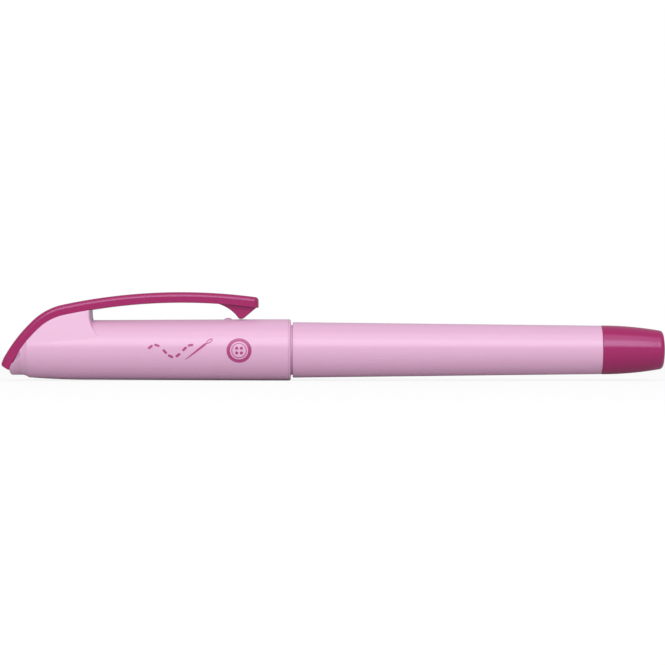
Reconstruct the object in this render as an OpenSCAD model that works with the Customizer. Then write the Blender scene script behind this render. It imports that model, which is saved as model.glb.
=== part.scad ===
// Fabric marking pen with a push-on cap, a spring clip and a pressed-in end plug.
// The pen lies along X: the closed end of the cap is at -X, the end plug at +X,
// and the clip is on top. The origin is under the middle of the pen, on the
// surface that it lies on. All sizes are in millimetres.

/* [Cap] */
// From the tip of the clip to the mouth of the cap
cap_l = 60.8; // [58:0.1:66]
// Wall of the cap at its mouth
cap_wall = 1.15; // [0.9:0.05:1.5]
// Straight band at the mouth, where a loop or a holder sits
cap_band_l = 6; // [3:0.5:6]
// Narrowing of the cap's diameter, from the band to the foot of the fin
cap_draft_d = 0.34; // [0:0.02:0.5]
// Length of the solid end in front of the bore
cap_end_l = 11.6; // [11:0.1:14]

/* [Fin] */
// From the tip of the clip to the fin's back edge
fin_l = 18.7; // [18:0.1:20]
// Lean of the fin's flat sides
fin_lean = 10; // [8:0.5:14]
// How far the fin's sides are sunk into the side of the cap
fin_set = 0.15; // [0:0.05:0.2]
// Turn of the fin's sides towards the tip
fin_yaw = 1.6; // [0:0.1:2]
// Radius of the hollow at the fin's back edge
fin_back_r = 7; // [5:0.5:8]

/* [Clip] */
// Thickness of the clip's strap
clip_t = 2.2; // [1.8:0.05:2.65]
// From the tip of the clip to its highest point
clip_crown_x = 37.8; // [36.5:0.1:39.5]
// Height of the clip's highest point over the cap
clip_rise = 5.7; // [5.4:0.05:6]
// Radius of the long arch
clip_arch_r = 119; // [110:1:130]
// Radius of the shoulder over the fin
clip_shoulder_r = 12.9; // [12:0.1:14]
// Radius of the nose, which runs down the end of the cap
clip_nose_r = 32.4; // [31:0.1:34]
// From the tip of the clip to its free end
clip_l = 54; // [52.5:0.1:55.5]
// Width of the clip from its tip to the back of the fin
clip_w = 6.2; // [5:0.1:6.6]
// Width of the free end
clip_end_w = 5; // [4:0.1:6]
// From the tip of the clip to the point of its foot
foot_x = 50.3; // [49.5:0.1:51]
// Width of the foot
foot_w = 3.4; // [2.5:0.1:4]

/* [Barrel] */
// Length of the barrel
barrel_l = 65; // [54:0.5:80]
// Height of the barrel's front edge over the neck
barrel_shoulder = 0.6; // [0.5:0.05:1]
// Outside diameter at the back of the barrel
barrel_back_d = 10.2; // [10:0.05:11]
// Gap between the cap and the barrel
cap_gap = 0.4; // [0.2:0.1:1]

/* [End plug] */
// Visible length of the end plug
plug_l = 13.4; // [11:0.1:16]
// Diameter of the end plug at the barrel
plug_d = 10.3; // [10:0.05:11]
// Radius of the plug's bowed side
plug_bow_r = 71.5; // [65:0.5:90]
// Length of the spigot in the barrel
plug_spigot_l = 8; // [5:0.5:10]

/* [Front section and nib] */
// Diameter of the neck that the cap grips, which sets the cap's and the barrel's width
neck_d = 10.5; // [8.7:0.1:12.7]
// Length of the neck
neck_l = 9; // [8:0.5:10]
// Step from the neck down to the grip
grip_step = 0.4; // [0.3:0.05:0.5]
// Diameter that the grip loses along its taper
grip_taper = 1.7; // [1.2:0.1:1.9]
// Length of the tapered grip
grip_l = 19.6; // [18:0.1:20]
// Shoulder of the grip round the nose that the inner cap seals on
nose_step = 0.7; // [0.6:0.05:0.8]
// Length of the nose
nose_l = 4; // [3:0.5:5]
// Length of the spigot in the barrel
front_spigot_l = 12.4; // [8:0.2:16]
// From the nose to the end of the nib holder's cone
cone_l = 7; // [6:0.5:8]
// From the cone to the end of the metal sleeve
sleeve_out = 3; // [2:0.1:4]
// From the sleeve to the point of the nib
nib_out = 1.2; // [0.8:0.1:1.6]
// Diameter of the nib's fibre rod
nib_d = 1.2; // [0.8:0.1:1.6]

/* [Ink] */
// Diameter of the fibre ink reservoir
reservoir_d = 6.2; // [5.1:0.1:7.5]
// Thickness of the film round the reservoir
film_t = 0.1; // [0.1:0.05:0.2]

/* [Fits] */
// Wall of the barrel at its back end
barrel_wall = 0.9; // [0.8:0.05:1.1]
// Radial clearance of parts that are pressed together
press_gap = 0.02; // [0.01:0.01:0.05]
// Radial clearance of parts that slide or turn
run_gap = 0.05; // [0.03:0.01:0.1]
// How far the foot of the clip stands off the cap
foot_gap = 0.15; // [0.1:0.05:0.3]

/* [Hidden] */
$fn = 96;
ARC_STEPS = 10;
CUT = 1;       // how far a cutting tool reaches past what it cuts
BIG = 40;      // a size larger than the pen is thick

// Places along the pen, measured from the tip of the clip
barrel_x = cap_l + cap_gap;
seam_x = barrel_x + barrel_l;
total_l = seam_x + plug_l;
neck_x = barrel_x - neck_l;
grip_x = neck_x - grip_l;
nose_x = grip_x - nose_l;
cone_x = nose_x - cone_l;
sleeve_x = cone_x - sleeve_out;
nib_x = sleeve_x - nib_out;
front_back_x = barrel_x + front_spigot_l;

// Radii of the neck, the grip and the nose
neck_r = neck_d / 2;
grip_r = neck_r - grip_step;
grip_front_r = grip_r - grip_taper / 2;
nose_r = grip_front_r - nose_step;

// Cap
cap_bore_r = neck_r + run_gap;
cap_r = cap_bore_r + cap_wall;
cap_fin_r = cap_r - cap_draft_d / 2;
liner_r = grip_r + 2 * run_gap;
cap_deep_r = liner_r + run_gap;
axis_z = cap_r;
lip_x = 1.7;        // front face of the lip under the clip's tip
lip_l = 2.6;        // straight length of the lip
lip_r = cap_r - 1.2; // radius of the lip
lip_edge_r = 0.6;   // rounding of the lip's front edge
step_l = 1.4;       // length of the hollow step behind the lip
nose_bow_r = 173;   // bow of the cap in front of the fin's back edge
bore_end_x = lip_x + cap_end_l;
deep_bore_x = neck_x - 2.6;
edge_round = 0.3;   // rounding of the mouth, the barrel and the plug's seam

// Bead on the cap in front of the clip's foot
bead_x = foot_x - 2.7;
bead_r = 1.2;
bead_h = 0.42;      // how far it stands out of the cap

// Clip: three arcs that run into one another, arch to shoulder to nose.
// Each angle is the slope of the strap there, rising from the tip.
arch_slope = 12.1;
shoulder_slope = 42.9;
function rim(a) = [-sin(a), cos(a)];
clip_crown_z = cap_r + clip_rise;
arch_c = [clip_crown_x, clip_crown_z - clip_arch_r];
shoulder_c = arch_c + (clip_arch_r - clip_shoulder_r) * rim(arch_slope);
nose_c = shoulder_c + (clip_shoulder_r - clip_nose_r) * rim(shoulder_slope);
tip_slope = asin(nose_c.x / clip_nose_r);
tip_turn = 1.35;         // how much further round the inner face reaches at the tip
tip_corner_z = -3.25;    // lower front corner of the tip
end_slope = asin((clip_crown_x - clip_l) / clip_arch_r);
hinge_x = fin_l + 0.9;

function sweep(c, r, from, to) =
    [for (i = [0 : ARC_STEPS]) c + r * rim(from + (to - from) * i / ARC_STEPS)];
function arch(depth, from, to) = sweep(arch_c, clip_arch_r - depth, from, to);
function shoulder(depth) = sweep(shoulder_c, clip_shoulder_r - depth, arch_slope, shoulder_slope);
function nose(depth) =
    sweep(nose_c, clip_nose_r - depth, shoulder_slope, tip_slope + (depth > 0 ? tip_turn : 0));
// Height of the strap's underside
function under_z(x) = arch_c.y + sqrt(pow(clip_arch_r - clip_t, 2) - pow(x - arch_c.x, 2));
function backwards(line) = [for (i = [len(line) - 1 : -1 : 0]) line[i]];
// The strap's line from its free end to its tip, at a depth under its outer face
function strap_line(depth) =
    concat(arch(depth, end_slope, arch_slope), shoulder(depth), nose(depth));

// Foot of the clip
foot_front_l = 5.2;      // from the foot's point to the front of its root
foot_back_l = 3.3;       // from the foot's point to the back of its root
foot_tip = 0.4;          // half the flat at the foot's point
foot_z = cap_r - cap_draft_d / 4 + foot_gap;
foot_bite = 0.5;         // how far the foot's root runs into the strap
arm_slack = 0.02;        // gap between the clip's two halves
end_corner = 1;          // corners of the clip's free end, seen from above

// Fin
fin_side_r = cap_fin_r - fin_set;
fin_crease_z = fin_side_r * sin(fin_lean);
fin_back_z = under_z(fin_l) - 0.4;

// Ink
film_r = reservoir_d / 2 + film_t;
ink_bore_r = film_r + press_gap;
spigot_r = neck_r - 0.4;
barrel_back_bore_r = barrel_back_d / 2 - barrel_wall;
holder_stem_r = 2;
holder_back_l = 17;      // length of the holder's stem behind the nose
sleeve_r = 1;
sleeve_in = 4;           // length of the sleeve inside the cone
reservoir_x = grip_x + 13;
nib_bite = 6;            // how far the nib reaches into the reservoir
plug_socket_l = 5;       // how far the reservoir reaches into the plug
reservoir_back_x = seam_x - plug_spigot_l + plug_socket_l;
liner_wall = 0.75;
liner_in_r = nose_r + run_gap;
liner_seat_gap = 0.1;
liner_land_l = 3;        // length of each of the inner cap's two guide bands

// Tongue that holds the clip in the cap
tongue_w = 2.4;
tongue_h = 1.2;
tongue_back_x = fin_l - 2;
tongue_front_x = 8;

// Puts pen coordinates, which start at the clip's tip and on the axis, in the part's frame
module in_frame() {
    translate([-total_l / 2, 0, axis_z]) children();
}

// A turned solid round the pen's axis, from its outline of [x, radius] points
module turned(outline) {
    rotate([0, 90, 0]) rotate_extrude() polygon([for (p = outline) [p.y, p.x]]);
}

// A round bar or bore along the pen's axis
module rod(x0, x1, r) {
    translate([x0, 0, 0]) rotate([0, 90, 0]) cylinder(h = x1 - x0, r = r);
}

// An outline of [x, z] points seen from the side, w wide and centred on the pen
module side_plate(outline, w) {
    translate([0, w / 2, 0]) rotate([90, 0, 0]) linear_extrude(w) polygon(outline);
}

// The space between the fin's two flat sides
module between_sides() {
    intersection_for (s = [-1, 1])
        translate([fin_l, 0, 0]) rotate([0, 0, s * fin_yaw]) rotate([s * fin_lean, 0, 0])
            translate([-BIG, s > 0 ? fin_side_r - BIG : -fin_side_r, -BIG])
                cube([2 * BIG, BIG, 2 * BIG]);
}

// Radius of the cap in front of the fin's back edge
function bow(x) = cap_fin_r - pow(fin_l - x, 2) / (2 * nose_bow_r);

// The cap's outside, without its fin
function cap_outline() =
    let (step_x = lip_x + lip_l, bow_x = step_x + step_l)
    concat(
        [[lip_x, 0], [lip_x, lip_r - lip_edge_r]],
        [for (a = [15 : 15 : 90]) [lip_x + lip_edge_r * (1 - cos(a)), lip_r - lip_edge_r * (1 - sin(a))]],
        [for (t = [0 : 0.25 : 1]) [step_x + step_l * t, lip_r + (bow(bow_x) - lip_r) * (1 - cos(90 * t))]],
        [for (x = [bow_x + 2.5 : 2.5 : fin_l - 0.5]) [x, bow(x)]],
        [[fin_l, cap_fin_r], [cap_l - cap_band_l, cap_r], [cap_l - edge_round, cap_r],
            [cap_l, cap_r - edge_round], [cap_l, 0]]);

module fin() {
    intersection() {
        between_sides();
        side_plate(concat([[lip_x, fin_crease_z]],
            [for (a = [80 : -10 : 0])
                [fin_l + fin_back_r * (1 - cos(a)), fin_back_z - fin_back_r * sin(a)]],
            [[fin_l, clip_crown_z], [lip_x, clip_crown_z]]), 2 * cap_r);
    }
}

// Everything in front of and above the clip's inner face
module swoop_cut() {
    side_plate(concat([[-CUT, -BIG], [lip_x, -BIG]], backwards(strap_line(clip_t)),
        [[clip_l, BIG], [-CUT, BIG]]), BIG);
}

module tongue(gap) {
    inner = concat(shoulder(clip_t - CUT / 2), nose(clip_t - CUT / 2));
    under = concat(shoulder(clip_t + tongue_h + gap), nose(clip_t + tongue_h + gap));
    intersection() {
        side_plate(concat(inner, backwards(under)), tongue_w + 2 * gap);
        translate([tongue_front_x - gap, -BIG / 2, -BIG])
            cube([tongue_back_x - tongue_front_x + 2 * gap, BIG, 2 * BIG]);
    }
}

module cap_shell() {
    color("#e3b6d3") in_frame() difference() {
        union() {
            turned(cap_outline());
            fin();
            translate([bead_x, 0, cap_r - cap_draft_d / 4 + bead_h - bead_r]) sphere(r = bead_r);
        }
        swoop_cut();
        tongue(press_gap);
        rod(bore_end_x, deep_bore_x + CUT, cap_deep_r);
        rod(deep_bore_x, cap_l + CUT, cap_bore_r);
    }
}

module strap(from_x, to_x) {
    intersection() {
        side_plate(concat(strap_line(0), [[0, tip_corner_z]], backwards(strap_line(clip_t))), BIG);
        translate([from_x, -BIG / 2, -BIG]) cube([to_x - from_x, BIG, 2 * BIG]);
    }
}

module clip_root() {
    color("#b03a74") in_frame() {
        intersection() {
            strap(-CUT, hinge_x);
            translate([-BIG / 2, -clip_w / 2, -BIG / 2]) cube([2 * BIG, clip_w, BIG]);
        }
        tongue(0);
    }
}

module clip_arm() {
    root = clip_w / 2;
    end = clip_end_w / 2;
    color("#a8336b") in_frame() {
        intersection() {
            strap(hinge_x + arm_slack, clip_l);
            linear_extrude(BIG) polygon([[hinge_x, -root], [clip_l - end_corner, -end],
                [clip_l, end_corner - end], [clip_l, end - end_corner],
                [clip_l - end_corner, end], [hinge_x, root]]);
        }
        side_plate([[foot_x - foot_front_l, under_z(foot_x - foot_front_l) + foot_bite],
            [foot_x - 3.2, under_z(foot_x - 3.2) - 0.3], [foot_x - foot_tip, foot_z],
            [foot_x + foot_tip, foot_z], [foot_x + 2.8, under_z(foot_x + 2.8) - 0.3],
            [foot_x + foot_back_l, under_z(foot_x + foot_back_l) + foot_bite]], foot_w);
    }
}

module barrel() {
    front_r = neck_r + barrel_shoulder;
    back_r = barrel_back_d / 2;
    bore = spigot_r + press_gap;
    step_x = front_back_x + 0.5;
    color("#e1b1d0") in_frame() turned([
        [barrel_x, bore], [barrel_x, front_r - edge_round], [barrel_x + edge_round, front_r],
        [seam_x - edge_round / 2, back_r], [seam_x, back_r - edge_round / 2],
        [seam_x, barrel_back_bore_r], [seam_x - plug_spigot_l - 0.5, barrel_back_bore_r],
        [step_x + 1, bore - 0.35], [step_x, bore]]);
}

module end_plug() {
    r = plug_d / 2;
    corner = 1;
    dome = 0.35;
    bowed_l = plug_l - corner - dome;
    corner_x = seam_x + bowed_l;
    end_r = r - pow(bowed_l, 2) / (2 * plug_bow_r);
    face_r = end_r - corner;
    color("#a8336b") in_frame() difference() {
        union() {
            turned(concat([[seam_x, 0], [seam_x, r - edge_round / 2]],
                [for (i = [1 : ARC_STEPS]) let (d = bowed_l * i / ARC_STEPS)
                    [seam_x + d, r - pow(d, 2) / (2 * plug_bow_r)]],
                [for (a = [15 : 15 : 75]) [corner_x + corner * sin(a), face_r + corner * cos(a)]],
                [for (t = [0 : 0.25 : 1]) [total_l - dome + dome * (1 - pow(1 - t, 2)), face_r * (1 - t)]]));
            rod(seam_x - plug_spigot_l, seam_x + CUT, barrel_back_bore_r - press_gap);
        }
        rod(seam_x - plug_spigot_l - CUT, reservoir_back_x + press_gap, ink_bore_r);
    }
}

module front_section() {
    chamfer = 0.4;
    color("#e6bdd8") in_frame() difference() {
        turned([[nose_x, 0], [nose_x, nose_r - chamfer], [nose_x + chamfer, nose_r], [grip_x, nose_r],
            [grip_x, grip_front_r - chamfer], [grip_x + chamfer, grip_front_r],
            [neck_x, grip_r], [neck_x, neck_r - chamfer], [neck_x + chamfer, neck_r],
            [barrel_x, neck_r], [barrel_x, spigot_r], [front_back_x, spigot_r], [front_back_x, 0]]);
        rod(reservoir_x, front_back_x + CUT, ink_bore_r);
        rod(nose_x - CUT, reservoir_x + CUT, holder_stem_r + press_gap);
    }
}

module nib_holder() {
    color("#f2eef0") in_frame() difference() {
        turned([[cone_x, 0], [cone_x, sleeve_r + 0.4], [nose_x, nose_r - 0.7], [nose_x, holder_stem_r],
            [nose_x + holder_back_l - 1, holder_stem_r], [nose_x + holder_back_l - 1, 0]]);
        rod(cone_x - CUT, cone_x + sleeve_in, sleeve_r + press_gap);
        rod(cone_x, nose_x + holder_back_l, nib_d / 2 + press_gap);
    }
}

module nib_sleeve() {
    color("#c9ccd0") in_frame() difference() {
        turned([[sleeve_x, 0], [sleeve_x, sleeve_r - 0.2], [sleeve_x + 0.4, sleeve_r],
            [cone_x + sleeve_in, sleeve_r], [cone_x + sleeve_in, 0]]);
        rod(sleeve_x - CUT, cone_x + sleeve_in + CUT, nib_d / 2 + press_gap);
    }
}

module nib() {
    r = nib_d / 2;
    color("#e85a9c") in_frame() turned(concat([[nib_x, 0]],
        [for (a = [15 : 15 : 90]) [nib_x + r * (1 - cos(a)), r * sin(a)]],
        [[reservoir_x + nib_bite, r], [reservoir_x + nib_bite, 0]]));
}

module reservoir() {
    color("#d9639f") in_frame() difference() {
        rod(reservoir_x, reservoir_back_x, reservoir_d / 2);
        rod(reservoir_x - CUT, reservoir_x + nib_bite, nib_d / 2 + press_gap);
    }
}

module reservoir_film() {
    color("#f4f4f6") in_frame() difference() {
        rod(reservoir_x, reservoir_back_x, film_r);
        rod(reservoir_x - CUT, reservoir_back_x + CUT, reservoir_d / 2);
    }
}

module inner_cap() {
    back_x = grip_x - liner_seat_gap;
    tube_r = liner_in_r + liner_wall;
    base_t = 1.2;
    color("#f6f3f5") in_frame() turned([
        [bore_end_x, 0], [bore_end_x, liner_r], [bore_end_x + liner_land_l, liner_r],
        [bore_end_x + liner_land_l, tube_r], [back_x - liner_land_l, tube_r],
        [back_x - liner_land_l, liner_r], [back_x, liner_r], [back_x, liner_in_r],
        [bore_end_x + base_t, liner_in_r], [bore_end_x + base_t, 0]]);
}

barrel();
end_plug();
front_section();
nib_holder();
nib_sleeve();
nib();
reservoir();
reservoir_film();
inner_cap();
cap_shell();
clip_root();
clip_arm();
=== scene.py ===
"""Looks of the fabric marking pen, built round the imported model.

Every shape is written in millimetres in the pen's own lines: x runs back from
the tip of the clip, y to the far side, and z up from the pen's axis.
place() turns them into metres in the shared frame.
"""
import math
from bisect import bisect_right

import bmesh
import bpy
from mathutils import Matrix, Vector


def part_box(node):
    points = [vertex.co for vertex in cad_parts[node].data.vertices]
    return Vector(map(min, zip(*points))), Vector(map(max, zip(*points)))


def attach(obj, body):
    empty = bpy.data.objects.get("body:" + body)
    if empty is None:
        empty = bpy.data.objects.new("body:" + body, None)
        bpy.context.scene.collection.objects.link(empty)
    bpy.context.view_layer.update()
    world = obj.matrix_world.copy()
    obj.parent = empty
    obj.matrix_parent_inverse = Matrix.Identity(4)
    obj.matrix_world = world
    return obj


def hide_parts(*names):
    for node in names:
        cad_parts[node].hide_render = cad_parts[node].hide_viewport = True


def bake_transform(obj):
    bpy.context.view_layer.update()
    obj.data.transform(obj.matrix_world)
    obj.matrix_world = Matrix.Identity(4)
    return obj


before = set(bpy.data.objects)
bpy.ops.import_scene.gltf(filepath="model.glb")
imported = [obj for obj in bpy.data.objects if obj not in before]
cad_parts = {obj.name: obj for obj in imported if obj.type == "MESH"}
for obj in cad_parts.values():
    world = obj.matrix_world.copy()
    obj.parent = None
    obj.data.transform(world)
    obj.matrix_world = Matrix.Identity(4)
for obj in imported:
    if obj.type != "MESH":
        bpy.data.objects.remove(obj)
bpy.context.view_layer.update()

MM = 0.001
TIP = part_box("clip_root")[0].x
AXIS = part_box("cap_shell")[1].y


def span(node):
    """The first and the last place of a CAD node along the pen."""
    low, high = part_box(node)
    return (low.x - TIP) / MM, (high.x - TIP) / MM


def place(x, y, z):
    return Vector((TIP + x * MM, y * MM, AXIS + z * MM))


NIB_X, NIB_BACK = span("nib")
SLEEVE_X, SLEEVE_BACK = span("nib_sleeve")
CONE_X, HOLDER_BACK = span("nib_holder")
NOSE_X, FRONT_BACK = span("front_section")
LINER_X, LINER_BACK = span("inner_cap")
LIP_X, MOUTH_X = span("cap_shell")
BARREL_X, SEAM_X = span("barrel")
SPIGOT_X, PEN_END = span("end_plug")
HINGE_X = span("clip_root")[1]
ARM_END = span("clip_arm")[1]

# ---------------------------------------------------------------- mesh tools

ROUND = 144  # points round a turned piece


def finish_mesh(name, mesh, sharp=32):
    """An object from a bmesh, smooth but for edges sharper than that angle."""
    bmesh.ops.remove_doubles(mesh, verts=mesh.verts, dist=2e-7)
    bmesh.ops.recalc_face_normals(mesh, faces=mesh.faces)
    data = bpy.data.meshes.new(name)
    mesh.to_mesh(data)
    mesh.free()
    data.polygons.foreach_set("use_smooth", [True] * len(data.polygons))
    data.set_sharp_from_angle(angle=math.radians(sharp))
    obj = bpy.data.objects.new(name, data)
    bpy.context.scene.collection.objects.link(obj)
    return obj


def add_loft(mesh, rings, poles=None):
    """Adds a closed skin through rings of points. A pole shuts each end.

    Without poles the last ring meets the first.
    """
    rows = [[mesh.verts.new(place(*p)) for p in ring] for ring in rings]
    pairs = list(zip(rows, rows[1:]))
    if poles is None:
        pairs.append((rows[-1], rows[0]))
    for a, b in pairs:
        for i in range(len(a)):
            mesh.faces.new((a[i - 1], a[i], b[i], b[i - 1]))
    for row, pole in zip((rows[0], rows[-1]), poles or ()):
        middle = mesh.verts.new(place(*pole))
        for i in range(len(row)):
            mesh.faces.new((row[i - 1], row[i], middle))


CORNER_STEPS = (0, 0.17, 0.34, 0.5, 0.66, 0.83, 1)
CORNER_REACH = 1.25  # a rounded corner has one more point just outside each end of its curve


def rounded(outline, closed=False):
    """An outline of (x, r) or (x, r, cut) points with each corner that has a cut made round."""
    line = []
    count = len(outline)
    for i, corner in enumerate(outline):
        p = Vector(corner[:2])
        cut = corner[2] if len(corner) > 2 else 0
        if cut == 0 or (not closed and i in (0, count - 1)):
            line.append(p)
            continue
        back = (Vector(outline[i - 1][:2]) - p).normalized()
        ahead = (Vector(outline[(i + 1) % count][:2]) - p).normalized()
        line.append(p + back * cut * CORNER_REACH)
        for t in CORNER_STEPS:
            line.append(p + back * cut * (1 - t) ** 2 + ahead * cut * t ** 2)
        line.append(p + ahead * cut * CORNER_REACH)
    return [(v.x, v.y) for v in line]


def circle(x, r, count=ROUND):
    turns = [2 * math.pi * i / count for i in range(count)]
    return [(x, r * math.cos(a), r * math.sin(a)) for a in turns]


def lathe(name, outline, sharp=32):
    """A turned piece. Its outline starts and ends on the axis, or else it is a closed loop."""
    solid = outline[0][1] == 0 and outline[-1][1] == 0
    line = rounded(outline, closed=not solid)
    mesh = bmesh.new()
    if solid:
        rings = [circle(x, r) for x, r in line[1:-1]]
        add_loft(mesh, rings, poles=[(line[0][0], 0, 0), (line[-1][0], 0, 0)])
    else:
        add_loft(mesh, [circle(x, r) for x, r in line])
    return finish_mesh(name, mesh, sharp)


def smooth_step(t):
    t = min(max(t, 0), 1)
    return t * t * (3 - 2 * t)


def soft_min(a, b, k):
    h = max(k - abs(a - b), 0) / k
    return min(a, b) - h * h * k / 4


def soft_max(a, b, k):
    return -soft_min(-a, -b, k)


# ----------------------------------------------------------------- materials


class Paint:
    """A node material with a Principled shader, and short calls for the nodes that feed it."""

    def __init__(self, name, colour, **settings):
        self.material = bpy.data.materials.new(name)
        self.material.use_nodes = True
        self.nodes = self.material.node_tree.nodes
        self.links = self.material.node_tree.links
        self.shader = self.nodes["Principled BSDF"]
        self.coordinates = self.nodes.new("ShaderNodeTexCoord").outputs["Object"]
        self.colour = colour
        self.shader.inputs["Base Color"].default_value = (*colour, 1)
        self.material.diffuse_color = (*colour, 1)
        for key, value in settings.items():
            self.shader.inputs[key.replace("_", " ")].default_value = value

    def noise(self, scale, detail=3, stretch=(1, 1, 1)):
        mapping = self.nodes.new("ShaderNodeMapping")
        mapping.inputs["Scale"].default_value = stretch
        texture = self.nodes.new("ShaderNodeTexNoise")
        texture.inputs["Scale"].default_value = scale
        texture.inputs["Detail"].default_value = detail
        self.links.new(self.coordinates, mapping.inputs["Vector"])
        self.links.new(mapping.outputs["Vector"], texture.inputs["Vector"])
        return texture.outputs["Fac"]

    def spread(self, value, low, high):
        """The middle of a noise, from 0.3 to 0.7, spread between two numbers."""
        node = self.nodes.new("ShaderNodeMapRange")
        settings = {"From Min": 0.3, "From Max": 0.7, "To Min": low, "To Max": high}
        for key, setting in settings.items():
            node.inputs[key].default_value = setting
        self.links.new(value, node.inputs["Value"])
        return node.outputs["Result"]

    def vary_colour(self, value, dark, light):
        """The base colour times a number that goes from dark to light with the value."""
        mix = self.nodes.new("ShaderNodeMix")
        mix.data_type = "RGBA"
        mix.inputs["A"].default_value = (*[c * dark for c in self.colour], 1)
        mix.inputs["B"].default_value = (*[min(c * light, 1) for c in self.colour], 1)
        self.links.new(self.spread(value, 0, 1), mix.inputs["Factor"])
        self.links.new(mix.outputs["Result"], self.shader.inputs["Base Color"])

    def vary_roughness(self, value, low, high):
        self.links.new(self.spread(value, low, high), self.shader.inputs["Roughness"])

    def bump(self, value, strength, height):
        node = self.nodes.new("ShaderNodeBump")
        node.inputs["Strength"].default_value = strength
        node.inputs["Distance"].default_value = height * MM
        self.links.new(value, node.inputs["Height"])
        self.links.new(node.outputs["Normal"], self.shader.inputs["Normal"])


ALONG = (0.12, 1, 1)  # stretches a texture along the pen
UNEVEN = 0.008        # how far a moulded skin's roughness goes up and down


def moulded(name, colour, roughness, tone=0.008, grain=0.008, shine=(1, 1, 1), index=1.48):
    """Moulded plastic: faint flow lines along the pen, a slightly uneven gloss and a fine skin."""
    paint = Paint(name, colour, Roughness=roughness, IOR=index, Specular_Tint=(*shine, 1))
    paint.vary_colour(paint.noise(220, 2, ALONG), 1 - tone, 1 + tone)
    paint.vary_roughness(paint.noise(420, 2, ALONG), roughness - UNEVEN, roughness + UNEVEN)
    paint.bump(paint.noise(2600, 1, ALONG), grain, 0.01)
    return paint.material


def fibre(name, colour):
    """Pressed fibre, with its strands along the pen."""
    paint = Paint(name, colour, Roughness=0.85)
    strands = paint.noise(9000, 3, (0.05, 1, 1))
    paint.vary_colour(strands, 0.82, 1.12)
    paint.bump(strands, 0.6, 0.03)
    return paint.material


def steel(name):
    """Drawn tube with fine lines round it."""
    paint = Paint(name, (0.72, 0.73, 0.75), Metallic=1, Roughness=0.25)
    lines = paint.noise(2500, 3, (6, 0.2, 0.2))
    paint.vary_colour(lines, 0.92, 1.06)
    paint.vary_roughness(lines, 0.2, 0.34)
    paint.bump(lines, 0.15, 0.005)
    return paint.material


def film(name):
    """Clear wrap round the ink fibre."""
    paint = Paint(name, (0.93, 0.94, 0.96), Roughness=0.12, Transmission_Weight=0.85, IOR=1.49)
    wrinkles = paint.noise(1400, 3, ALONG)
    paint.vary_roughness(wrinkles, 0.08, 0.2)
    paint.bump(wrinkles, 0.3, 0.02)
    return paint.material


PALE = (0.725, 0.42, 0.615)
MAGENTA = (0.345, 0.012, 0.108)
MATERIALS = {
    "barrel_plastic": moulded("barrel_plastic", PALE, 0.27),
    "cap_plastic": moulded("cap_plastic", PALE, 0.27),
    "accent_plastic": moulded("accent_plastic", MAGENTA, 0.22, tone=0.015,
                              shine=(0.8, 0.68, 1), index=1.62),
    "grip_plastic": moulded("grip_plastic", (0.76, 0.47, 0.67), 0.36, grain=0.03),
    "white_plastic": moulded("white_plastic", (0.86, 0.84, 0.85), 0.4, grain=0.03),
    "sleeve_metal": steel("sleeve_metal"),
    "nib_fibre": fibre("nib_fibre", (0.62, 0.06, 0.27)),
    "ink_fibre": fibre("ink_fibre", (0.6, 0.1, 0.3)),
    "clear_film": film("clear_film"),
}


def dress(obj, slot, material=None):
    obj.data.materials.append(material or MATERIALS[slot])
    return obj


def turned_piece(name, node, body, slot, outline):
    """A lathe piece that takes the place of one CAD node."""
    obj = dress(lathe(name, outline), slot)
    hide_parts(node)
    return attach(obj, body)


# --------------------------------------------------------- barrel and inside

PRESS = 0.02  # gap between two pieces that are pressed together
QUARTER = [math.radians(10 * i) for i in range(1, 10)]  # round a quarter turn, without its ends

NECK_R = 5.25
SPIGOT_R = NECK_R - 0.4
BARREL_FRONT_R = NECK_R + 0.6
BARREL_BACK_R = 5.1
BACK_BORE_R = 4.2
STEP_X = FRONT_BACK + 0.5

turned_piece("barrel_tube", "barrel", "pen", "barrel_plastic", [
    (BARREL_X, SPIGOT_R + PRESS, 0.1), (BARREL_X, BARREL_FRONT_R, 0.3),
    (SEAM_X, BARREL_BACK_R, 0.16), (SEAM_X, BACK_BORE_R, 0.1),
    (SPIGOT_X - 0.5, BACK_BORE_R), (STEP_X + 1, SPIGOT_R - 0.33), (STEP_X, SPIGOT_R + PRESS),
])

PLUG_R = 5.15
PLUG_CORNER = 1
PLUG_DOME = 0.35
PLUG_BOW = 71.5  # radius of the arc along the plug's side
INK_BORE_R = 3.22
BOWED_L = PEN_END - SEAM_X - PLUG_CORNER - PLUG_DOME


def plug_side(along):
    """Radius of the plug's bowed side at a distance behind the seam."""
    return PLUG_R - along ** 2 / (2 * PLUG_BOW)


FACE_R = plug_side(BOWED_L) - PLUG_CORNER
plug = [(SPIGOT_X, INK_BORE_R, 0.2), (SPIGOT_X, BACK_BORE_R - PRESS, 0.2),
        (SEAM_X, BACK_BORE_R - PRESS), (SEAM_X, PLUG_R, 0.16)]
plug += [(SEAM_X + along, plug_side(along)) for along in (BOWED_L * i / 16 for i in range(1, 17))]
plug += [(SEAM_X + BOWED_L + PLUG_CORNER * math.sin(a), FACE_R + PLUG_CORNER * math.cos(a))
         for a in (math.radians(9 * i) for i in range(1, 10))]
plug += [(PEN_END - PLUG_DOME * (1 - t) ** 2, FACE_R * (1 - t))
         for t in (i / 8 for i in range(1, 8))]
plug += [(PEN_END, 0)]
SOCKET_X = SPIGOT_X + 5.02
turned_piece("plug_end", "end_plug", "pen", "accent_plastic",
             [(SOCKET_X, 0), (SOCKET_X, INK_BORE_R)] + plug)

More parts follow.
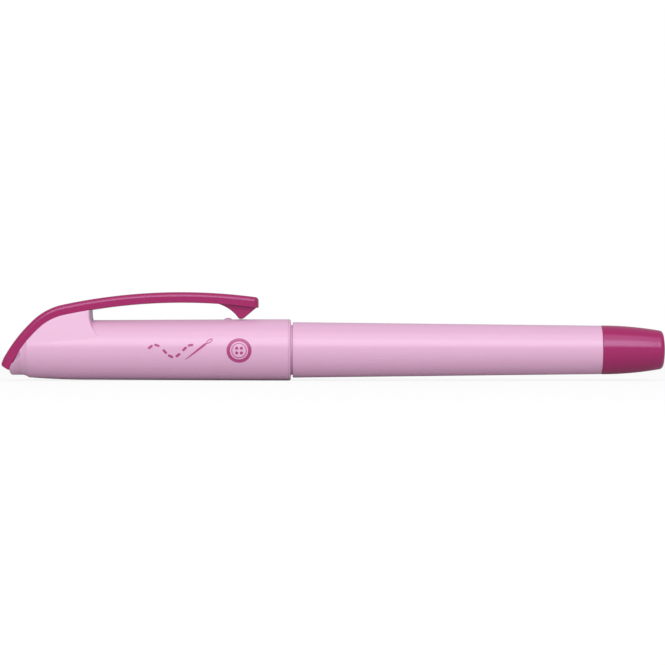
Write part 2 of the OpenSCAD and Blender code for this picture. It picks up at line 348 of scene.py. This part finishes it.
GRIP_X = NOSE_X + 4
GRIP_FRONT_R = 4.0
GRIP_BACK_R = 4.85
NOSE_R = 3.3
NECK_X = BARREL_X - 9
STEM_R = 2.02
RESERVOIR_X = span("reservoir")[0]
GROOVE_DEEP = 0.13
grip = [(GRIP_X, NOSE_R), (GRIP_X, GRIP_FRONT_R, 0.35)]
for k in range(5):  # five fine grooves for the fingers
    x = GRIP_X + 3 + 1.4 * k
    r = GRIP_FRONT_R + (GRIP_BACK_R - GRIP_FRONT_R) * (x - GRIP_X) / (NECK_X - GRIP_X)
    grip += [(x, r, 0.1), (x + 0.18, r - GROOVE_DEEP, 0.1),
             (x + 0.42, r - GROOVE_DEEP, 0.1), (x + 0.6, r + 0.02, 0.1)]
grip += [(NECK_X, GRIP_BACK_R, 0.08), (NECK_X, NECK_R, 0.35),
         (BARREL_X, NECK_R), (BARREL_X, SPIGOT_R)]
turned_piece("grip_section", "front_section", "pen", "grip_plastic", [
    (NOSE_X, STEM_R, 0.1), (NOSE_X, NOSE_R, 0.35), *grip, (FRONT_BACK, SPIGOT_R, 0.15),
    (FRONT_BACK, INK_BORE_R, 0.15), (RESERVOIR_X, INK_BORE_R), (RESERVOIR_X, STEM_R),
])

SLEEVE_R = 1
NIB_R = 0.6
turned_piece("nib_cone", "nib_holder", "pen", "white_plastic", [
    (CONE_X, SLEEVE_R + PRESS, 0.06), (CONE_X, SLEEVE_R + 0.4, 0.15), (NOSE_X - 1.2, 2.38, 0.6),
    (NOSE_X, NOSE_R - 0.7), (NOSE_X, STEM_R - PRESS), (HOLDER_BACK, STEM_R - PRESS, 0.15),
    (HOLDER_BACK, NIB_R + PRESS), (SLEEVE_BACK, NIB_R + PRESS), (SLEEVE_BACK, SLEEVE_R + PRESS),
])
turned_piece("nib_tube", "nib_sleeve", "pen", "sleeve_metal", [
    (SLEEVE_X, NIB_R + PRESS, 0.04), (SLEEVE_X, SLEEVE_R - 0.2, 0.08),
    (SLEEVE_X + 0.4, SLEEVE_R, 0.12), (SLEEVE_BACK, SLEEVE_R), (SLEEVE_BACK, NIB_R + PRESS),
])
nib = [(NIB_X, 0)] + [(NIB_X + NIB_R * (1 - math.cos(a)), NIB_R * math.sin(a)) for a in QUARTER]
turned_piece("nib_rod", "nib", "pen", "nib_fibre", nib + [(NIB_BACK, NIB_R), (NIB_BACK, 0)])

LINER_R = 4.95
LINER_IN_R = 3.35
LINER_TUBE_R = 4.1
LINER_RING = 3   # length of the wide ring at each end
LINER_END = 1.2  # thickness of its closed end
turned_piece("liner_tube", "inner_cap", "liner", "white_plastic", [
    (LINER_X, 0), (LINER_X, LINER_R, 0.2),
    (LINER_X + LINER_RING, LINER_R, 0.2), (LINER_X + LINER_RING, LINER_TUBE_R, 0.2),
    (LINER_BACK - LINER_RING, LINER_TUBE_R, 0.2), (LINER_BACK - LINER_RING, LINER_R, 0.2),
    (LINER_BACK, LINER_R, 0.2), (LINER_BACK, LINER_IN_R, 0.2),
    (LINER_X + LINER_END, LINER_IN_R, 0.2), (LINER_X + LINER_END, 0),
])

for name in ("reservoir", "reservoir_film"):
    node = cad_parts[name]
    material = MATERIALS["ink_fibre" if name == "reservoir" else "clear_film"]
    if node.material_slots:
        node.material_slots[0].material = material
    else:
        node.data.materials.append(material)

# ------------------------------------------------------------ clip's own line

CLIP_T = 2.2
ARCH_SLOPE = 12.1
SHOULDER_SLOPE = 42.9
CROWN_X = 37.8
ARCH_R, SHOULDER_R, CLIP_NOSE_R = 119, 12.9, 32.4


def next_arc(arc, slope, radius):
    """The arc of that radius that runs on from another one where its slope is given."""
    a, step = math.radians(slope), arc[2] - radius
    return arc[0] - step * math.sin(a), arc[1] + step * math.cos(a), radius


ARCH = (CROWN_X, (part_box("clip_arm")[1].z - AXIS) / MM - ARCH_R, ARCH_R)
SHOULDER = next_arc(ARCH, ARCH_SLOPE, SHOULDER_R)
NOSE = next_arc(SHOULDER, SHOULDER_SLOPE, CLIP_NOSE_R)
TIP_SLOPE = math.degrees(math.asin(NOSE[0] / NOSE[2]))


def strap_height(x, depth):
    """Height of the clip's strap over a place on the pen, at a depth under its outer face."""
    for (cx, cz, r), slope in ((NOSE, SHOULDER_SLOPE), (SHOULDER, ARCH_SLOPE), (ARCH, -90)):
        reach = r - depth
        if x <= cx - reach * math.sin(math.radians(slope)):
            break
    return cz + math.sqrt(max(reach ** 2 - (x - cx) ** 2, 0))


# ------------------------------------------------------------------------ cap

CAP_R = AXIS / MM
FIN_X = 18.7
FIN_R = CAP_R - 0.17
FIN_LEAN = math.radians(10)
FIN_BACK_R = 7
FIN_BACK_Z = strap_height(FIN_X, CLIP_T) - 0.4
FIN_EDGE = 0.4         # rounding of the fin's back edges
LEDGE_EDGE = 0.35      # softness of the ledge beside the clip
BAND_X = MOUTH_X - 6
CAP_BORE_R = NECK_R + 0.05
CAP_DEEP_R = LINER_R + 0.05
DEEP_X = NECK_X - 2.6
BEAD_X = 47.6
BEAD_R = 1.2
BEAD_Z = CAP_R - 0.865
CAP_BOW = 346
CREASE_X, CREASE_Z, CREASE_CLIMB = 5.6, 1.3, 0.078
CUT_AWAY = 9   # takes the fin's side well inside the body, where the fin has ended
NO_TOP = 99    # higher than anything


def bow(x):
    """Radius of the cap beside the fin, where it narrows slightly to its closed end."""
    return FIN_R - (FIN_X - x) ** 2 / CAP_BOW


LIP_R = CAP_R - 1.2
STEP_FRONT, STEP_BACK = LIP_X + 2.6, LIP_X + 4
CAP_OUTLINE = rounded(
    [(LIP_X, LIP_R - 0.6)]
    + [(LIP_X + 0.6 * (1 - math.cos(a)), LIP_R - 0.6 * (1 - math.sin(a)))
       for a in QUARTER]
    + [(STEP_FRONT + 1.4 * t, LIP_R + (bow(STEP_BACK) - LIP_R) * (1 - math.cos(math.pi / 2 * t)))
       for t in (i / 8 for i in range(8))]
    + [(STEP_BACK, bow(STEP_BACK), 0.14)] + [(x, bow(x)) for x in range(8, 19)]
    + [(FIN_X, FIN_R), (BAND_X, CAP_R), (MOUTH_X - 0.4, CAP_R)])
OUTLINE_X = [x for x, r in CAP_OUTLINE]


def cap_radius(x):
    i = min(max(bisect_right(OUTLINE_X, x), 1), len(OUTLINE_X) - 1)
    (x0, r0), (x1, r1) = CAP_OUTLINE[i - 1], CAP_OUTLINE[i]
    return r0 + (r1 - r0) * min(max((x - x0) / (x1 - x0), 0), 1)


def fin_back_x(z):
    """Where the fin's hollow back is at a height."""
    rise = min(max((FIN_BACK_Z - z) / FIN_BACK_R, 0), 1)
    return FIN_X + FIN_BACK_R * (1 - math.sqrt(1 - rise * rise))


def fin_top(x):
    """Top of the fin: the clip's underside, and behind it the hollow back."""
    if x <= FIN_X:
        return strap_height(x, CLIP_T) - PRESS
    along = min((FIN_BACK_R + FIN_X - x) / FIN_BACK_R, 1)
    if along <= 0:
        return -CAP_R
    return FIN_BACK_Z - FIN_BACK_R * math.sqrt(max(1 - along * along, 0))


def crease_height(x):
    """Where the fin's flat sides run out into the round body: a line that climbs from the nose."""
    return CREASE_Z + CREASE_CLIMB * (x - CREASE_X)


def cap_section(x, r):
    """Ring round the cap: round body, the fin's leaning sides and the bead by the clip's foot."""
    top = fin_top(x)
    centre = min(0, (top - r) / 2) if x < FIN_X else 0
    crease = crease_height(x)
    a, b = math.cos(FIN_LEAN), math.sin(FIN_LEAN)
    reach = r * math.cos(math.asin(min(crease / r, 1)) - FIN_LEAN)
    half = []
    for angle in RAYS:
        c, s = math.cos(angle), math.sin(angle)
        t = body = -centre * s + math.sqrt(r * r - (centre * c) ** 2)
        height = centre + body * s
        if x < FIN_X + FIN_BACK_R and a * c + b * s > 0.05 and height > crease - 0.3:
            side = (reach - b * centre) / (a * c + b * s)
            soft = min(max(0.9 * (side - body), 0.05), FIN_EDGE)
            edge = soft - (fin_back_x(centre + side * s) - x)
            if edge > 0:
                side -= soft - math.sqrt(soft ** 2 - edge ** 2) if edge < soft else CUT_AWAY
            if x > FIN_X:
                roof = (top - centre) / s if s > 0.01 else NO_TOP
                side = soft_min(side, roof, min(soft, 0.25))
            t = soft_max(body, side, 0.02) if height > crease else body
        if x <= FIN_X and s > 0.01:
            t = soft_min(t, (top - centre) / s, LEDGE_EDGE)
        if abs(x - BEAD_X) < BEAD_R and s > 0.9:
            ball = BEAD_R ** 2 - (x - BEAD_X) ** 2 - (BEAD_Z * c) ** 2
            if ball > 0:
                t = soft_max(t, BEAD_Z * s + math.sqrt(ball), 0.06)
        half.append((x, t * c, centre + t * s))
    return half + [(x, -y, z) for x, y, z in half[-2:0:-1]]


def steps(start, end, count):
    return [start + (end - start) * i / count for i in range(count)]


RAYS = [math.radians(a) for a in steps(-90, 4, 30) + steps(4, 66, 76) + steps(66, 90, 18) + [90]]


def cap_body():
    stations = {round(x, 4) for x in OUTLINE_X}
    places = steps(6.2, FIN_X - 0.7, 30) + steps(FIN_X - 0.7, FIN_X + 0.4, 40)
    places += steps(FIN_X + 0.4, 22.2, 50) + steps(22.2, 26, 20)
    places += steps(26.6, BEAD_X - 1.3, 14) + steps(BEAD_X - 1.3, BEAD_X + 1.3, 34)
    places += steps(BEAD_X + 1.3, MOUTH_X - 0.5, 8)
    stations |= {round(x, 4) for x in places}
    rings = [cap_section(x, cap_radius(x)) for x in sorted(stations) if x > LIP_X + 1e-4]
    rings.insert(0, cap_section(LIP_X, LIP_R - 0.6))
    back = rounded([
        (MOUTH_X - 0.5, CAP_R), (MOUTH_X, CAP_R, 0.38), (MOUTH_X, CAP_BORE_R, 0.15),
        (DEEP_X, CAP_BORE_R), (DEEP_X, CAP_DEEP_R), (LINER_X, CAP_DEEP_R),
    ])[1:]
    for x, r in back:
        rings.append([(x, r * c, r * s) for c, s in ((math.cos(a), math.sin(a)) for a in RAYS)])
        rings[-1] += [(x, -y, z) for x, y, z in rings[-1][-2:0:-1]]
    mesh = bmesh.new()
    low = [z for x, y, z in rings[0]]
    add_loft(mesh, rings, poles=[(LIP_X, 0, (min(low) + max(low)) / 2), (LINER_X, 0, 0)])
    return finish_mesh("cap_body", mesh, 40)


cap = dress(cap_body(), "cap_plastic")
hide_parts("cap_shell")
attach(cap, "cap")

# ----------------------------------------------------------------------- clip

CLIP_HALF = 3.1
CLIP_END_HALF = 2.5
TOP_FILLET = 1.15
TOP_FALL = 1.0
LOW_FILLET = 0.14


def strap_section(point, up, half, side_cut=0, top_cut=0, low_cut=0, thick=CLIP_T):
    """Ring round the strap at one place on its line, with its faces moved in by the cuts."""
    half = half - side_cut
    depth = thick - low_cut
    fall = min(TOP_FALL, depth - top_cut - 0.3)
    low = min(LOW_FILLET, half / 2)
    edge = [(0, depth), (half * 0.5, depth), (half - low * 1.6, depth)]
    for i in range(5):
        a = math.pi / 2 * i / 4
        edge.append((half - low + low * math.sin(a), depth - low + low * math.cos(a)))
    edge.append((half, depth - low * 1.6))
    edge.append((half, top_cut + fall * 1.04))
    fillet = min(TOP_FILLET, half * 0.6)
    for i in range(11):
        a = math.pi / 2 * i / 10
        edge.append((half - fillet + fillet * math.cos(a), top_cut + fall * (1 - math.sin(a))))
    edge += [((half - fillet) * 0.9, top_cut), ((half - fillet) * 0.5, top_cut), (0, top_cut)]
    ring = [(point[0] - up[0] * d, y, point[1] - up[1] * d) for y, d in edge]
    return ring + [(x, -y, z) for x, y, z in ring[-2:0:-1]]


def on_arc(arc, slope, depth=0):
    """A point of the clip's line at a depth under its outer face, and the way up from it."""
    a, r = math.radians(slope), arc[2] - depth
    return (arc[0] - r * math.sin(a), arc[1] + r * math.cos(a)), (-math.sin(a), math.cos(a))


def half_width(x):
    if x < HINGE_X:
        return CLIP_HALF
    return CLIP_HALF + (CLIP_END_HALF - CLIP_HALF) * (x - HINGE_X) / (ARM_END - HINGE_X)


def quarter(distance, radius):
    """How far a rounded corner has come in at a distance from the end."""
    back = max(radius - distance, 0)
    return radius - math.sqrt(radius ** 2 - back ** 2)


TIP_CORNER_Z = -3.25   # lower front corner of the clip's tip
TIP_TURN = 1.35        # how much further round the inner face reaches there
TIP_TOP_Z = on_arc(NOSE, TIP_SLOPE)[0][1]
TIP_EDGE = 0.22        # rounding of the square tip's edges
END_TURN = 1.5         # length over which the free end turns upright


def strap_rings():
    rings = []
    corner = Vector((0, TIP_CORNER_Z))
    inner = Vector(on_arc(NOSE, TIP_SLOPE + TIP_TURN, CLIP_T)[0])
    up = (corner - inner).normalized()
    along = Vector((up.y, -up.x))
    for i in range(6):  # rounded edges of the square tip
        a = math.pi / 2 * i / 5
        cut = TIP_EDGE * (1 - math.sin(a))
        point = corner + along * TIP_EDGE * (1 - math.cos(a))
        thick = (corner - inner).length
        rings.append(strap_section(point, up, CLIP_HALF, cut, cut, cut, thick))
    first = TIP_SLOPE - 1.6
    outer_end, inner_end = (Vector(on_arc(NOSE, first, d)[0]) for d in (0, CLIP_T))
    for i in range(1, 5):  # the outer face turns down to the corner
        t = i / 5
        outer = corner.lerp(Vector((0.02, TIP_TOP_Z)), 2 * t * (1 - t)).lerp(outer_end, t * t)
        low = inner.lerp(inner_end, t)
        across = outer - low
        rings.append(strap_section(outer, across.normalized(), CLIP_HALF, thick=across.length))
    places = [(NOSE, s) for s in steps(first, SHOULDER_SLOPE, 22)]
    places += [(SHOULDER, s) for s in steps(SHOULDER_SLOPE, ARCH_SLOPE, 26)]
    end_x = ARM_END - END_TURN
    end_slope = math.degrees(math.asin((ARCH[0] - end_x) / ARCH[2]))
    places += [(ARCH, s) for s in steps(ARCH_SLOPE, end_slope, 48)]
    for arc, slope in places:
        point, up = on_arc(arc, slope)
        rings.append(strap_section(point, up, half_width(point[0])))
    for i in range(17):  # the free end turns upright and its corners round off
        back = END_TURN * (1 - i / 16) ** 1.6
        x = ARM_END - back
        slope = math.asin((ARCH[0] - x) / ARCH[2])
        lean = slope * (back / END_TURN)
        point = (x, strap_height(x, 0))
        up = (-math.sin(lean), math.cos(lean))
        cuts = [quarter(back, radius) for radius in (1, 0.6, 0.2)]
        rings.append(strap_section(point, up, half_width(x), *cuts))
    return rings


FOOT_X = 50.3
FOOT_HALF = 1.7
FOOT_Z = (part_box("clip_arm")[0].z - AXIS) / MM
FOOT_ROOT_Z, FOOT_BEND_Z = 10.1, 9.2                 # heights of its front line's root and bend
FOOT_ROOT, FOOT_BEND, FOOT_FLAT = 6.2, 2.1, 0.4      # how far in front of FOOT_X that line is
FOOT_LEAN = 1.2                                      # run of its back face for each rise


def foot_rings():
    """Keel under the arm: hollow in front, straight behind, with a narrow flat at its point."""
    rings = []
    levels = 26
    for i in range(levels + 1):
        t = i / levels
        root, bend, end = (1 - t) ** 2, 2 * t * (1 - t), t * t
        front = FOOT_X - (FOOT_ROOT * root + FOOT_BEND * bend + FOOT_FLAT * end)
        z = FOOT_ROOT_Z * root + FOOT_BEND_Z * bend + FOOT_Z * end
        back = min(FOOT_X + FOOT_FLAT + (z - FOOT_Z) * FOOT_LEAN, ARM_END - 0.35)
        inset = quarter(z - FOOT_Z, 0.16)
        half = FOOT_HALF - inset + 0.35 * smooth_step((z - 8.2) / 1.6)
        round_r = min(0.3, (back - front) / 3)
        x0, x1 = front + inset, back - inset
        ring = []
        for cx, cy, start in ((x1, half, 0), (x0, half, 90), (x0, -half, 180), (x1, -half, 270)):
            for k in range(6):
                a = math.radians(start + 90 * k / 5)
                ring.append((cx + round_r * (math.cos(a) - (1 if cx == x1 else -1)),
                             cy + round_r * (math.sin(a) - (1 if cy > 0 else -1)), z))
        rings.append(ring)
    return rings


def clip_mesh():
    mesh = bmesh.new()
    rings = strap_rings()
    middles = []
    for ring in (rings[0], rings[-1]):
        heights = [z for x, y, z in ring]
        middle_x = sum(x for x, y, z in ring) / len(ring)
        middles.append((middle_x, 0, (min(heights) + max(heights)) / 2))
    add_loft(mesh, rings, poles=middles)
    rings = foot_rings()
    back, front = rings[0][0], rings[0][11]
    add_loft(mesh, rings, poles=[((back[0] + front[0]) / 2, 0, back[2]), (FOOT_X, 0, FOOT_Z)])
    return finish_mesh("clip", mesh, 40)


clip = dress(clip_mesh(), "accent_plastic")
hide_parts("clip_root", "clip_arm")
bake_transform(clip)

# ---------------------------------------------------------------------- print

INK_H = 0.02     # how far the ink stands out
INK_ROOT = 0.04  # how far it reaches into the cap, so that no gap shows


def on_cap(x, v, lift):
    """A point of the printed picture: x along the cap and v up round its near side."""
    r = cap_radius(x)
    angle = v / r
    return (x, -(r + lift) * math.cos(angle), (r + lift) * math.sin(angle))


def add_stroke(mesh, line, width, closed=False):
    """A thin raised ribbon of ink along a line of (x, v) points, round at its ends."""
    rails = []
    count = len(line)
    for i, (x, v) in enumerate(line):
        ahead = line[(i + 1) % count] if closed or i < count - 1 else line[i]
        behind = line[i - 1] if closed or i > 0 else line[i]
        along = Vector((ahead[0] - behind[0], ahead[1] - behind[1])).normalized()
        half = width[i] / 2 if isinstance(width, list) else width / 2
        across = Vector((-along.y, along.x)) * half
        rails.append(((x + across.x, v + across.y), (x, v), (x - across.x, v - across.y)))
    rings = []
    for left, middle, right in rails:
        rings.append([on_cap(*p, INK_H) for p in (left, middle, right)]
                     + [on_cap(*p, -INK_ROOT) for p in (right, middle, left)])
    if closed:
        add_loft(mesh, rings)
    else:
        add_loft(mesh, rings, poles=[on_cap(*line[0], 0), on_cap(*line[-1], 0)])


def bar(x, v, angle, length, width):
    """A short bar with round ends: its line and its widths."""
    line, widths = [], []
    for i in range(15):
        s = length / 2 * (i / 7 - 1)
        over = max(abs(s) - (length - width) / 2, 0) / (width / 2)
        line.append((x + s * math.cos(angle), v + s * math.sin(angle)))
        widths.append(max(width * math.sqrt(max(1 - over * over, 0)), 0.03))
    return line, widths


def oval(x, v, along, across, angle=0, count=44):
    c, s = math.cos(angle), math.sin(angle)
    turns = [2 * math.pi * i / count for i in range(count)]
    return [(x + along * math.cos(a) * c - across * math.sin(a) * s,
             v + along * math.cos(a) * s + across * math.sin(a) * c) for a in turns]


BUTTON = (50.1, -0.1)
STITCH_X, STITCH_END, STITCH_WAVE, STITCH_RISE = 31.6, 40.4, 7.6, 1.25
NEEDLE_EYE, NEEDLE_LEAN, NEEDLE_L = (43.9, 1.9), math.radians(38), 6.6


def thread_height(x):
    return STITCH_RISE * math.sin((x - STITCH_X + 0.9) * 2 * math.pi / STITCH_WAVE) - 0.2


def print_piece():
    """Generic print: a running stitch, the needle that draws it and a four-hole button."""
    mesh = bmesh.new()
    add_stroke(mesh, oval(*BUTTON, 2.25, 2.25), 0.72, closed=True)
    add_stroke(mesh, oval(*BUTTON, 1.52, 1.52), 0.17, closed=True)
    for k in range(4):
        a = math.pi / 4 + math.pi / 2 * k
        hole = (BUTTON[0] + 0.7 * math.cos(a), BUTTON[1] + 0.7 * math.sin(a))
        add_stroke(mesh, *bar(*hole, a, 0.66, 0.64))
    x = STITCH_X
    while x < STITCH_END:
        slope = math.atan2(thread_height(x + 0.05) - thread_height(x - 0.05), 0.1)
        add_stroke(mesh, *bar(x, thread_height(x), slope, 1.2, 0.5))
        x += 1.72 * math.cos(slope)
    c, s = math.cos(NEEDLE_LEAN), math.sin(NEEDLE_LEAN)
    eye_x, eye_v = NEEDLE_EYE
    add_stroke(mesh, oval(eye_x, eye_v, 0.72, 0.27, NEEDLE_LEAN), 0.2, closed=True)
    shaft, widths = [], []
    for i in range(25):
        t = i / 24
        reach = 0.68 + (NEEDLE_L - 0.68) * t
        shaft.append((eye_x - reach * c, eye_v - reach * s))
        widths.append(0.03 + 0.5 * min(t * 14, 1) * (1 - t) ** 0.6)
    add_stroke(mesh, shaft, widths)
    return finish_mesh("cap_print", mesh, 50)


ink = Paint("print_ink", (0.413, 0.046, 0.205), Roughness=0.34)
ink.vary_colour(ink.noise(2600, 4), 0.9, 1.08)
ink.vary_roughness(ink.noise(3200, 3), 0.28, 0.42)
ink.bump(ink.noise(7000, 2), 0.25, 0.01)
printed = dress(print_piece(), "cap_plastic", ink.material)
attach(printed, "cap")

# ------------------------------------------------------- stage, light, camera


class Rays:
    """How strongly a stage surface glows for the rays that look at it.

    That is 1 for the camera's rays, and the gloss value for reflections and glass.
    """

    def __init__(self, tree, gloss):
        self.tree = tree
        path = tree.nodes.new("ShaderNodeLightPath")
        glass = path.outputs["Is Transmission Ray"]
        shine = self.math("MAXIMUM", path.outputs["Is Glossy Ray"], glass)
        dimmed = self.math("MULTIPLY", shine, gloss)
        self.seen = self.math("MAXIMUM", path.outputs["Is Camera Ray"], dimmed)

    def math(self, operation, a, b):
        node = self.tree.nodes.new("ShaderNodeMath")
        node.operation = operation
        for socket, value in zip(node.inputs, (a, b)):
            if isinstance(value, (int, float)):
                socket.default_value = value
            else:
                self.tree.links.new(value, socket)
        return node.outputs[0]


SHADOW_NEAR, SHADOW_FAR = 0.3, 0.9  # metres from the pen between which its shadow fades out


def stage_material(name, bounce, shadow, gloss):
    """A floor that is white to the camera but for its share of shadow, and throws a plain bounce.

    The share of shadow fades out far from the pen, so that no horizon shows.
    """
    paint = Paint(name, (bounce, bounce, bounce), Roughness=0.8)
    paint.vary_colour(paint.noise(6, 2), 0.99, 1.01)
    rays = Rays(paint.material.node_tree, gloss)
    glow = paint.nodes.new("ShaderNodeEmission")
    matt = paint.nodes.new("ShaderNodeBsdfDiffuse")
    matt.inputs["Color"].default_value = (0.95, 0.95, 0.95, 1)
    distance = paint.nodes.new("ShaderNodeVectorMath")
    distance.operation = "LENGTH"
    paint.links.new(paint.coordinates, distance.inputs[0])
    share = paint.nodes.new("ShaderNodeMapRange")
    fade = {"From Min": SHADOW_NEAR, "From Max": SHADOW_FAR, "To Min": shadow, "To Max": 0}
    for key, setting in fade.items():
        share.inputs[key].default_value = setting
    paint.links.new(distance.outputs["Value"], share.inputs["Value"])
    white = paint.nodes.new("ShaderNodeMixShader")
    paint.links.new(share.outputs["Result"], white.inputs["Fac"])
    paint.links.new(glow.outputs["Emission"], white.inputs[1])
    paint.links.new(matt.outputs["BSDF"], white.inputs[2])
    mix = paint.nodes.new("ShaderNodeMixShader")
    paint.links.new(rays.seen, mix.inputs["Fac"])
    paint.links.new(paint.shader.outputs["BSDF"], mix.inputs[1])
    paint.links.new(white.outputs["Shader"], mix.inputs[2])
    paint.links.new(mix.outputs["Shader"], paint.nodes["Material Output"].inputs["Surface"])
    return paint.material


def slab(name, corners, material):
    mesh = bmesh.new()
    mesh.faces.new([mesh.verts.new(c) for c in corners])
    obj = finish_mesh(name, mesh)
    obj.data.materials.append(material)


FLOOR = 3
slab("floor", [(-FLOOR, -FLOOR, 0), (FLOOR, -FLOOR, 0), (FLOOR, FLOOR, 0), (-FLOOR, FLOOR, 0)],
     stage_material("floor_white", bounce=0.6, shadow=0.2, gloss=0.1))

world = bpy.data.worlds.new("studio")
bpy.context.scene.world = world
world.use_nodes = True
sky = world.node_tree.nodes["Background"]
world_rays = Rays(world.node_tree, 0.45)
FILL = 0.4
level = world_rays.math("MAXIMUM", world_rays.seen, FILL)
world.node_tree.links.new(level, sky.inputs["Strength"])
sky.inputs["Color"].default_value = (1, 1, 1, 1)

BOX_AWAY = 1.2   # metres from the pen to each panel
BOX_DEEP = 0.62


def softbox(name, elevation, width, radiance):
    """One panel of the big soft lamp that arches over the front of the pen."""
    data = bpy.data.lights.new(name, "AREA")
    data.shape = "RECTANGLE"
    data.size = width
    data.size_y = BOX_DEEP
    data.energy = radiance * math.pi * width * BOX_DEEP
    lamp = bpy.data.objects.new(name, data)
    e = math.radians(elevation)
    away = Vector((0, -math.cos(e), math.sin(e)))
    lamp.location = Vector((0, 0, AXIS)) + away * BOX_AWAY
    lamp.rotation_euler = (math.pi / 2 - e, 0, 0)
    bpy.context.scene.collection.objects.link(lamp)


softbox("front_box", elevation=32, width=1.3, radiance=3.8)
softbox("upper_box", elevation=61, width=1.4, radiance=1.35)

camera_data = bpy.data.cameras.new("camera")
camera = bpy.data.objects.new("camera", camera_data)
bpy.context.scene.collection.objects.link(camera)
CAMERA_AWAY = 0.6
CAMERA_UP = 3.665 * MM
CAMERA_SIDE = -0.21 * MM
camera.location = (CAMERA_SIDE, -CAMERA_AWAY, AXIS + CAMERA_UP)
camera.rotation_euler = (math.pi / 2, 0, 0)
camera_data.lens = 154.1
camera_data.sensor_width = 36
camera_data.clip_start = 0.01
bpy.context.scene.camera = camera
bpy.context.scene.view_settings.view_transform = "Standard"
